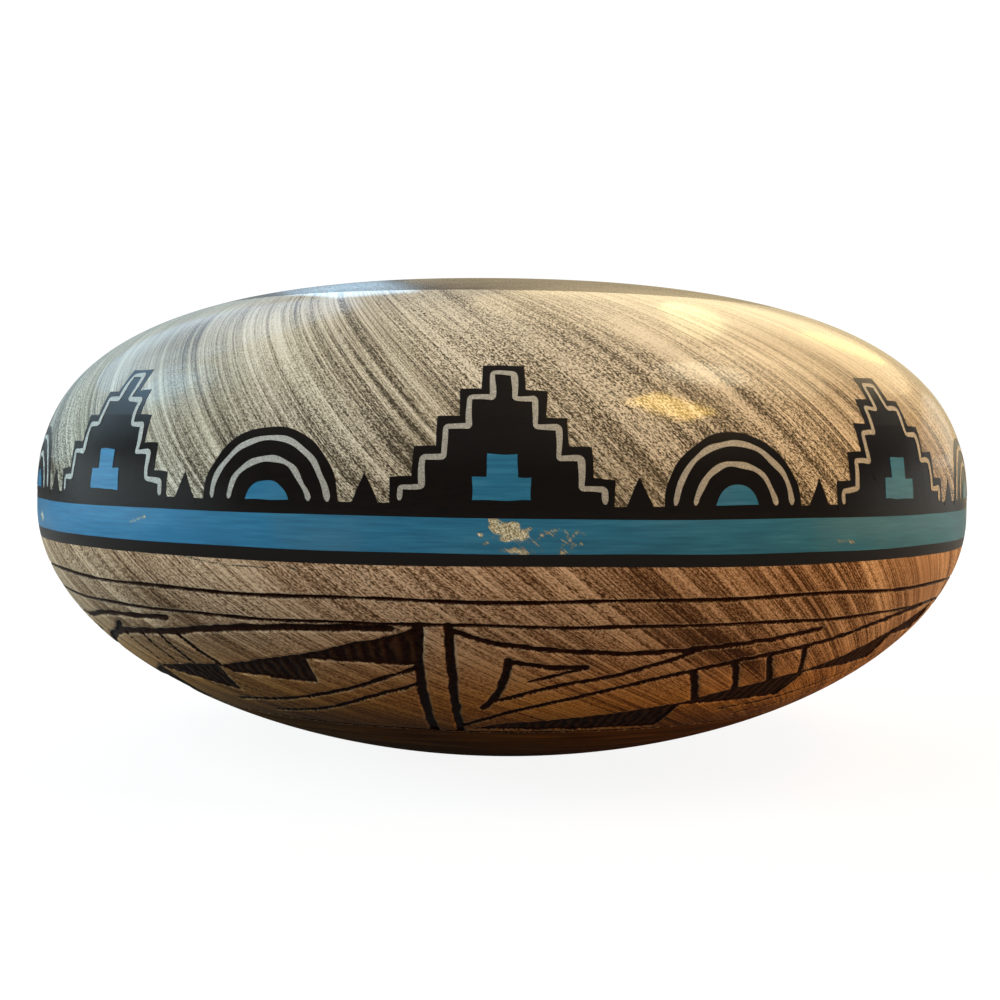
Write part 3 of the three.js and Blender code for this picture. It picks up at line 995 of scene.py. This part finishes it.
def turquoise_paint(name, flaked):
    """Turquoise paint with brush lines round the pot, paler here and there. It may be flaked to pale clay."""
    shader = Shader(name)
    place = shader.place()
    lines = shader.noise(shader.scaled(place, (0.06, 0.06, 1.0)), 1.8, 3.0, 0.6)
    patch = shader.noise(place, 0.05)
    grain = shader.noise(place, 3.0)
    color = shader.ramp(lines, (0.25, (34, 96, 130)), (0.55, (44, 114, 151)), (0.85, (65, 133, 165)))
    color = shader.mix(shader.spread(patch, 0.5, 0.8, 0, 0.35), color, (82, 120, 135))
    if flaked:
        scrape = shader.noise(shader.scaled(shader.vector("brush"), (1.0, 1.0, 0.2)), 2.4, 2.0, 0.6)
        flecks = shader.noise(place, 4.2, 3.0, 0.7)
        rough = shader.plus(
            shader.spread(flecks, *GRAIN_RANGE, -0.3, 0.3),
            shader.spread(scrape, *GRAIN_RANGE, -0.22, 0.22),
        )
        bare = shader.ramp(flecks, (0.36, (66, 74, 60)), (0.48, (176, 164, 128)), (0.6, (240, 234, 214)))
        gone = shader.spread(shader.plus(shader.value("chip"), rough), 0.06, -0.12)
        color = shader.mix(gone, color, bare)
    return lacquered(shader, color, grain, shader.plus(grain, lines), 0.1, PAINT_GLOSS)


def silver_paint():
    """Silver paint of fine flakes laid on with a small brush."""
    shader = Shader("silver_paint")
    flakes = shader.noise(shader.place(), 4.0, 2.0, 0.7)
    color = shader.ramp(flakes, (0.3, (150, 144, 136)), (0.55, (186, 181, 173)), (0.75, (226, 222, 214)))
    return shader.finish(
        base_color=color,
        metallic=0.3,
        roughness=shader.dulled(flakes, 0.36, 0.54),
        normal=shader.bump(flakes, 0.4, 0.05),
    )


def charcoal_paint():
    """Dark paint of the rim, glossier than the rest, with fine wear."""
    shader = Shader("charcoal_paint")
    place = shader.place()
    rings = shader.noise(shader.scaled(place, (0.1, 0.1, 1.0)), 1.8, 3.0)
    grain = shader.noise(place, 2.2, 3.0)
    mixed = shader.plus(rings, shader.times(grain, 0.4))
    return shader.finish(
        base_color=shader.ramp(mixed, (0.4, (40, 33, 27)), (0.9, (92, 77, 63))),
        roughness=shader.dulled(grain, 0.2, 0.34),
        specular_ior_level=0.5,
        normal=shader.bump(grain, 0.25, 0.04),
    )


def fired_clay():
    """Bare buff clay with grit and throwing smears."""
    shader = Shader("fired_clay")
    place = shader.place()
    smear = shader.noise(shader.scaled(place, (0.12, 0.12, 1.0)), 0.5, 3.0)
    grit = shader.noise(place, 1.4, 4.0, 0.7)
    mixed = shader.plus(shader.times(smear, 0.6), shader.times(grit, 0.5))
    color = shader.ramp(mixed, (0.32, (150, 120, 88)), (0.55, (190, 162, 126)), (0.78, (214, 190, 156)))
    return shader.finish(
        base_color=color,
        roughness=shader.dulled(grit, 0.78, 0.95),
        specular_ior_level=0.25,
        normal=shader.bump(grit, 0.5, 0.12),
    )


FINISHES = {
    "fired_clay": fired_clay(),
    "umber_slip": umber_slip(),
    "brushed_brown_slip": brown_slip(),
    "brushed_grey_slip": grey_slip(),
    "black_paint": black_paint(),
    "turquoise_paint": turquoise_paint("turquoise_paint", False),
    "charcoal_paint": charcoal_paint(),
}
SLOTS = {part["node"]: part["material_slot"] for part in frame["record"]["subparts"]}


def dress(piece, finish):
    """Give a piece its finish."""
    piece.data.materials.append(finish)


for name, piece in pieces.items():
    flaked = name == "turquoise_belt"
    finish = turquoise_paint("worn_turquoise_paint", True) if flaked else FINISHES[SLOTS[name]]
    dress(piece, finish)
silver = silver_paint()
for piece, slot in frieze:
    dress(piece, FINISHES[slot] if slot else silver)

# Camera: where the outline and the rings of the photograph place it, with its angles in degrees
CAMERA_DISTANCE = 330.0
CAMERA_HEIGHT = 63.6
CAMERA_PITCH = 2.12
CAMERA_ROLL = 0.73
CAMERA_YAW = -0.07
FOCAL_PIXELS = 1462.7
FRAME_PIXELS = 1000
SENSOR = 36.0


def facing(bearing, height, lean):
    """Turn of what looks at the pot from a bearing and a height, and leans about its line of sight."""
    def turn(degrees, axis):
        return Matrix.Rotation(math.radians(degrees), 4, axis)

    return turn(bearing, "Z") @ turn(90 - height, "X") @ turn(lean, "Z")


def add_camera():
    """Camera that looks a little down at the pot's front."""
    data = bpy.data.cameras.new("camera")
    data.sensor_width = SENSOR
    data.lens = SENSOR * FOCAL_PIXELS / FRAME_PIXELS
    data.clip_start = 0.01
    camera = linked("camera", data)
    place = Matrix.Translation(Vector((0, -CAMERA_DISTANCE, CAMERA_HEIGHT)) * MM)
    camera.matrix_world = place @ facing(-CAMERA_YAW, CAMERA_PITCH, CAMERA_ROLL)
    bpy.context.scene.camera = camera


FLOOR_RADIUS = 1.6
FLOOR_SWEEP = 1.0
FLOOR_COLOR = srgb(96, 96, 96)
FLOOR_COLUMNS = 96
FLOOR_NEAR = 250.0
FLOOR_FAR = 900.0
FLOOR_LIFT_NEAR = 0.9
FLOOR_LIFT_FAR = 1.0
MIRRORED_FLOOR = 0.035
MIRRORED_SKY = 0.05
AMBIENT = 0.12
AMBIENT_COLOR = (1.0, 0.99, 0.97, 1.0)


def seen_directly(shader, mirrored):
    """Socket: 1 for rays that show the background itself, and a small share for its reflection."""
    path = shader.node("ShaderNodeLightPath", {}).outputs
    seen = shader.plus(path["Is Camera Ray"], path["Is Transmission Ray"])
    return shader.plus(seen, shader.times(path["Is Glossy Ray"], mirrored))


def add_floor():
    """Round floor that sweeps up all round, so that every view has the same plain pale ground."""
    bend = np.linspace(0, math.pi / 2, 24)
    rise = [(FLOOR_RADIUS + FLOOR_SWEEP * math.sin(t), FLOOR_SWEEP * (1 - math.cos(t))) for t in bend]
    outline = [(0, 0), (0.2, 0), (0.6, 0), *rise]
    mesh = bpy.data.meshes.new("floor")
    faces = ring_faces(len(outline), FLOOR_COLUMNS, False)
    mesh.from_pydata(turned_points(outline, FLOOR_COLUMNS), [], faces)
    mesh.shade_smooth()
    floor = linked("floor", mesh)
    shader = Shader("floor")
    away = shader.node("ShaderNodeVectorMath", {0: shader.place()}, operation="LENGTH").outputs["Value"]
    lift = shader.spread(away, FLOOR_NEAR, FLOOR_FAR, FLOOR_LIFT_NEAR, FLOOR_LIFT_FAR)
    mesh.materials.append(shader.finish(
        base_color=FLOOR_COLOR,
        roughness=0.9,
        specular_ior_level=0.0,
        emission_color=(1.0, 1.0, 1.0, 1.0),
        emission_strength=shader.times(seen_directly(shader, MIRRORED_FLOOR), lift),
    ))


def add_world():
    """Even surroundings that look white."""
    shader = Shader("surroundings", bpy.data.worlds)
    ground = shader.tree.nodes["Background"].inputs
    inputs = {"Value": seen_directly(shader, MIRRORED_SKY), "To Min": AMBIENT, "To Max": 1.0}
    shader.feed(ground["Color"], AMBIENT_COLOR)
    shader.feed(ground["Strength"], shader.node("ShaderNodeMapRange", inputs).outputs["Result"])
    bpy.context.scene.world = shader.owner


# Lamps: name, bearing from the front towards the right, height over the floor and lean in degrees, width and
# tallness in metres, watts, whether lacquer mirrors it, and colour. They are round but for two
SQUARE_LAMPS = ("window", "warm_spot")
LAMP_DISTANCE = 1.1
LAMPS = (
    ("window", -169.5, 25, 0, 0.12, 0.3, 0.24, True, (0.52, 0.78, 1)),
    ("left_window", -108, 36, 0, 0.26, 0.26, 0.35, True, (0.34, 0.69, 1)),
    ("left_glow", -108, 36, 0, 0.5, 0.42, 0.46, True, (0.42, 0.74, 1)),
    ("left_haze", -110, 34, 0, 0.9, 0.75, 0.64, True, (0.5, 0.79, 1)),
    ("left_sheen", -140, 16, 0, 1.4, 0.5, 0.62, True, (0.66, 0.9, 1)),
    ("left_veil", -142, 35, 0, 0.8, 0.6, 0.62, True, (0.25, 0.56, 1)),
    ("left_low", -92, 3, 0, 1.2, 0.26, 0.44, True, (0.8, 0.95, 1)),
    ("right_sheen", 132, 11, 0, 0.6, 0.24, 0.12, True, (0.95, 1, 0.95)),
    ("right_low", 112, 2, 0, 1.1, 0.26, 0.23, True, (1, 1, 0.92)),
    ("right_panel", 150, 42, 0, 1, 1, 2.1, True, (1, 0.77, 0.41)),
    ("right_glow", 156, 19, 0, 1.2, 0.9, 1.45, True, (1, 0.81, 0.46)),
    ("right_top", 106, 52, 0, 0.6, 0.5, 0.9, True, (1, 0.82, 0.5)),
    ("warm_lamp", 155, 45, 36, 0.11, 0.6, 0.24, True, (1, 0.95, 0.45)),
    ("small_lamp", 149, 26, 0, 0.15, 0.24, 0.075, True, (1, 0.95, 0.25)),
    ("top_lamp", 90, 60, 0, 0.3, 0.3, 0.7, True, (1, 0.9, 0.62)),
    ("warm_spot", 50, 48, 20, 0.2, 0.3, 2.2, True, (1, 0.64, 0.16)),
    ("warm_side", 104, 34, 0, 1, 0.8, 4.8, False, (1, 0.65, 0.3)),
    ("warm_low", 98, 2, 0, 1, 0.14, 5.6, False, (1, 0.53, 0.18)),
    ("right_fill", 128, 12, 0, 0.7, 0.4, 3.2, False, (0.85, 0.97, 1)),
    ("front_left", -50, 35, 0, 0.8, 0.8, 8.6, False, (0.78, 0.95, 1)),
    ("front_right", 40, 8, 0, 0.5, 0.24, 3.9, False, (1, 0.67, 0.37)),
    ("cool_side", -100, 8, 0, 0.9, 0.3, 12.5, False, (0.56, 0.85, 1)),
    ("back_lamp", -168, 38, 0, 1, 0.8, 7, False, (1, 0.98, 0.95)),
)


def add_lamp(name, bearing, height, lean, width, tall, watts, mirrored, color):
    """Soft lamp that faces the pot."""
    data = bpy.data.lights.new(name, "AREA")
    data.shape = "RECTANGLE" if name in SQUARE_LAMPS else "ELLIPSE"
    data.size = width
    data.size_y = tall
    data.energy = watts
    data.color = color
    lamp = linked(name, data)
    lamp.visible_glossy = mirrored
    middle = Matrix.Translation((0, 0, BELLY_HEIGHT * MM))
    away = Matrix.Translation((0, 0, LAMP_DISTANCE))
    lamp.matrix_world = middle @ facing(bearing, height, lean) @ away


add_camera()
add_floor()
add_world()
for lamp in LAMPS:
    add_lamp(*lamp)
bpy.context.scene.view_settings.view_transform = "Standard"
